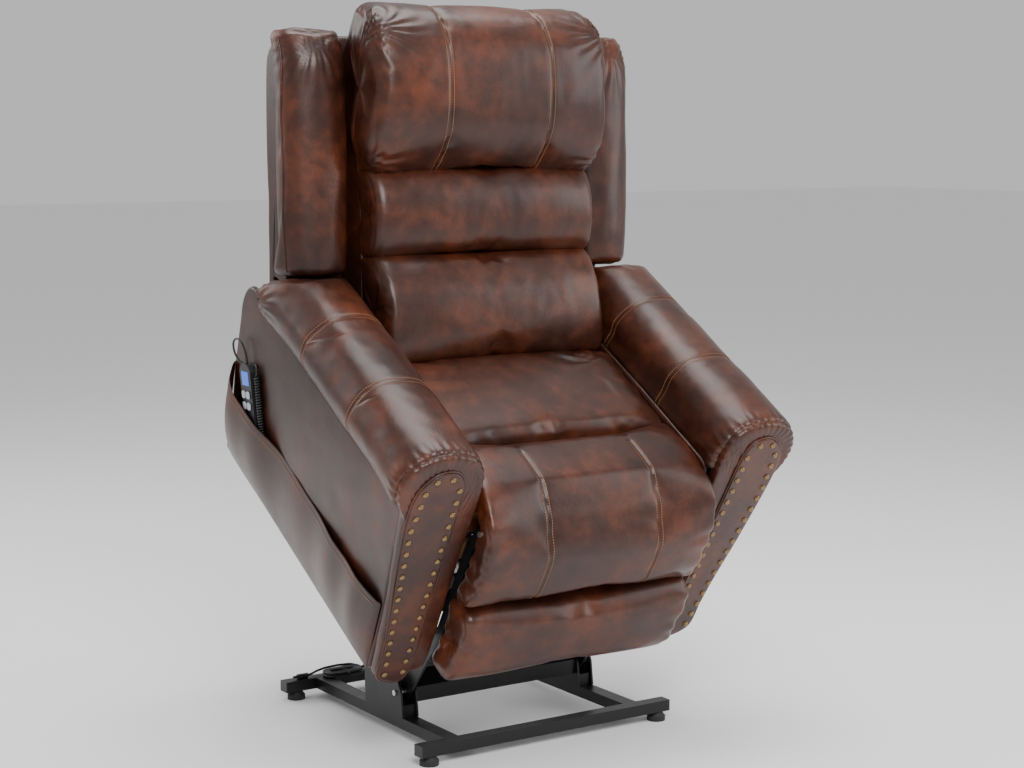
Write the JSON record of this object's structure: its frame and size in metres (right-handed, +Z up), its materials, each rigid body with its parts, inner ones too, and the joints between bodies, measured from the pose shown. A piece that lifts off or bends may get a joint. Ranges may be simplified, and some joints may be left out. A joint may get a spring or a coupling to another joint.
{
  "type": "lift recliner chair",
  "caption": "power lift recliner in brown leather with rolled arms, winged back and nailhead trim, its seat raised and tipped forward on a steel lift base",
  "frame": {"origin": "centre of the bounding box on the floor, under the chair in its raised pose, leads left out", "axes": "+Z up, the chair faces -Y, +X to the right of someone looking at its front; X = 0 is the plane of symmetry"},
  "size_m": [0.96, 0.9404, 1.5375],
  "materials": {
    "leather": "glossy, pull-up burnish",
    "black_steel": "satin powder coat",
    "bright_steel": "zinc plated",
    "chromed_rod": "polished",
    "black_plastic": "fine texture",
    "key_plastic": "smooth",
    "window_plastic": "lit, glossy",
    "foot_rubber": "matt",
    "lead_sheath": "satin",
    "plywood": "raw",
    "antique_brass": "antiqued"
  },
  "bodies": {
    "base": {"base_front_tube": "black_steel", "base_rear_tube": "black_steel", "base_side_rails": "black_steel", "base_tube_caps": "black_plastic", "base_feet": "foot_rubber", "lift_towers": "black_steel", "tower_pins": "bright_steel", "power_socket": "black_plastic", "power_lead": "lead_sheath", "power_lead_hank": "lead_sheath", "power_plug": "black_plastic"},
    "lift_arm": {"lift_arm_frame": "black_steel"},
    "rear_link": {"rear_links": "black_steel"},
    "chair": {"chair_pivot_pins": "bright_steel", "mechanism_plate_left": "black_steel", "mechanism_plate_right": "black_steel", "mechanism_front_tube": "black_steel", "mechanism_middle_tube": "black_steel", "seat_frame": "plywood", "seat_springs": "bright_steel", "seat_cushion": "leather", "seat_front_pad": "leather", "arm_inner_panels": "plywood", "side_panel_left": "leather", "side_panel_right": "leather", "arm_front_left": "leather", "arm_front_right": "leather", "arm_front_panel_left": "leather", "arm_front_panel_right": "leather", "arm_roll_left": "leather", "arm_roll_right": "leather", "nailhead_trim_left": "antique_brass", "nailhead_trim_right": "antique_brass", "rear_skirt_panel": "leather", "side_pocket": "leather", "handset_case": "black_plastic", "handset_window": "window_plastic", "handset_lead": "lead_sheath", "handset_curly_lead": "lead_sheath"},
    "backrest": {"back_frame": "black_steel", "headrest_cushion": "leather", "lumbar_cushion": "leather", "lower_back_cushion": "leather", "wing_pad_left": "leather", "wing_pad_right": "leather", "outer_back_shell": "leather"},
    "legrest": {"legrest_board": "plywood", "legrest_upper_pad": "leather", "legrest_lower_pad": "leather", "legrest_hinge_bars": "black_steel"},
    "lift_actuator": {"lift_actuator": "black_plastic"},
    "lift_rod": {"lift_rod": "chromed_rod"},
    "recline_actuator": {"recline_actuator": "black_plastic"},
    "recline_rod": {"recline_rod": "chromed_rod"},
    "legrest_actuator": {"legrest_actuator": "black_plastic"},
    "legrest_rod": {"legrest_rod": "chromed_rod"},
    "raise_key": {"handset_raise_key": "key_plastic"},
    "lower_key": {"handset_lower_key": "key_plastic"},
    "recline_key": {"handset_recline_key": "key_plastic"},
    "legrest_key": {"handset_legrest_key": "key_plastic"}
  },
  "joints": [
    {"name": "lift", "type": "hinge", "parent": "base", "child": "lift_arm", "pos_m": [0, -0.011, 0.095], "axis": [1, 0, 0], "range_deg": [0, 52.07]},
    {"name": "seat_tilt", "type": "hinge", "parent": "lift_arm", "child": "chair", "pos_m": [0, -0.13628, 0.24273], "axis": [1, 0, 0], "range_deg": [-82.75, 0]},
    {"name": "rear_link_pivot", "type": "hinge", "parent": "base", "child": "rear_link", "pos_m": [0, 0.094, 0.1495], "axis": [1, 0, 0], "range_deg": [0, 56.49]},
    {"name": "lift_actuator_pivot", "type": "hinge", "parent": "base", "child": "lift_actuator", "pos_m": [0, 0.359, 0.062], "axis": [1, 0, 0], "range_deg": [0, 29.72]},
    {"name": "lift_rod_stroke", "type": "slide", "parent": "lift_actuator", "child": "lift_rod", "axis": [0, -0.6646, 0.7472], "range_m": [-0.15896, 0]},
    {"name": "recline", "type": "hinge", "parent": "chair", "child": "backrest", "pos_m": [0, 0.18978, 0.6704], "axis": [-1, 0, 0], "range_deg": [0, 35]},
    {"name": "recline_actuator_pivot", "type": "hinge", "parent": "chair", "child": "recline_actuator", "pos_m": [0, -0.12513, 0.32822], "axis": [1, 0, 0], "range_deg": [0, 5.42]},
    {"name": "recline_rod_stroke", "type": "slide", "parent": "recline_actuator", "child": "recline_rod", "axis": [0, 0.8303, 0.5573], "range_m": [-0.05639, 0]},
    {"name": "legrest_swing", "type": "hinge", "parent": "chair", "child": "legrest", "pos_m": [0, -0.38939, 0.50101], "axis": [-1, 0, 0], "range_deg": [0, 85]},
    {"name": "legrest_actuator_pivot", "type": "hinge", "parent": "chair", "child": "legrest_actuator", "pos_m": [0, 0.01905, 0.44797], "axis": [1, 0, 0], "range_deg": [-0.05, 2.55]},
    {"name": "legrest_rod_stroke", "type": "slide", "parent": "legrest_actuator", "child": "legrest_rod", "axis": [0, -0.9965, -0.0834], "range_m": [0, 0.17946]},
    {"name": "raise_key_press", "type": "slide", "parent": "chair", "child": "raise_key", "axis": [0.9945, -0.0531, 0.0901], "range_m": [0, 0.0012], "stiffness_N_per_m": 700, "springref_m": -0.0006},
    {"name": "lower_key_press", "type": "slide", "parent": "chair", "child": "lower_key", "axis": [0.9945, -0.0531, 0.0901], "range_m": [0, 0.0012], "stiffness_N_per_m": 700, "springref_m": -0.0006},
    {"name": "recline_key_press", "type": "slide", "parent": "chair", "child": "recline_key", "axis": [0.9945, -0.0531, 0.0901], "range_m": [0, 0.0012], "stiffness_N_per_m": 700, "springref_m": -0.0006},
    {"name": "legrest_key_press", "type": "slide", "parent": "chair", "child": "legrest_key", "axis": [0.9945, -0.0531, 0.0901], "range_m": [0, 0.0012], "stiffness_N_per_m": 700, "springref_m": -0.0006}
  ],
  "couplings": [
    {"joint": "seat_tilt", "follows": "lift", "ratio": -1.5857},
    {"joint": "rear_link_pivot", "follows": "lift", "ratio": 1.0824},
    {"joint": "lift_actuator_pivot", "follows": "lift", "ratio": 0.56934},
    {"joint": "lift_rod_stroke", "follows": "lift", "m_per_rad": -0.17435},
    {"joint": "recline_actuator_pivot", "follows": "recline", "ratio": 0.15428},
    {"joint": "recline_rod_stroke", "follows": "recline", "m_per_rad": -0.091495},
    {"joint": "legrest_actuator_pivot", "follows": "legrest_swing", "ratio": 0.029393},
    {"joint": "legrest_rod_stroke", "follows": "legrest_swing", "m_per_rad": 0.12063}
  ]
}
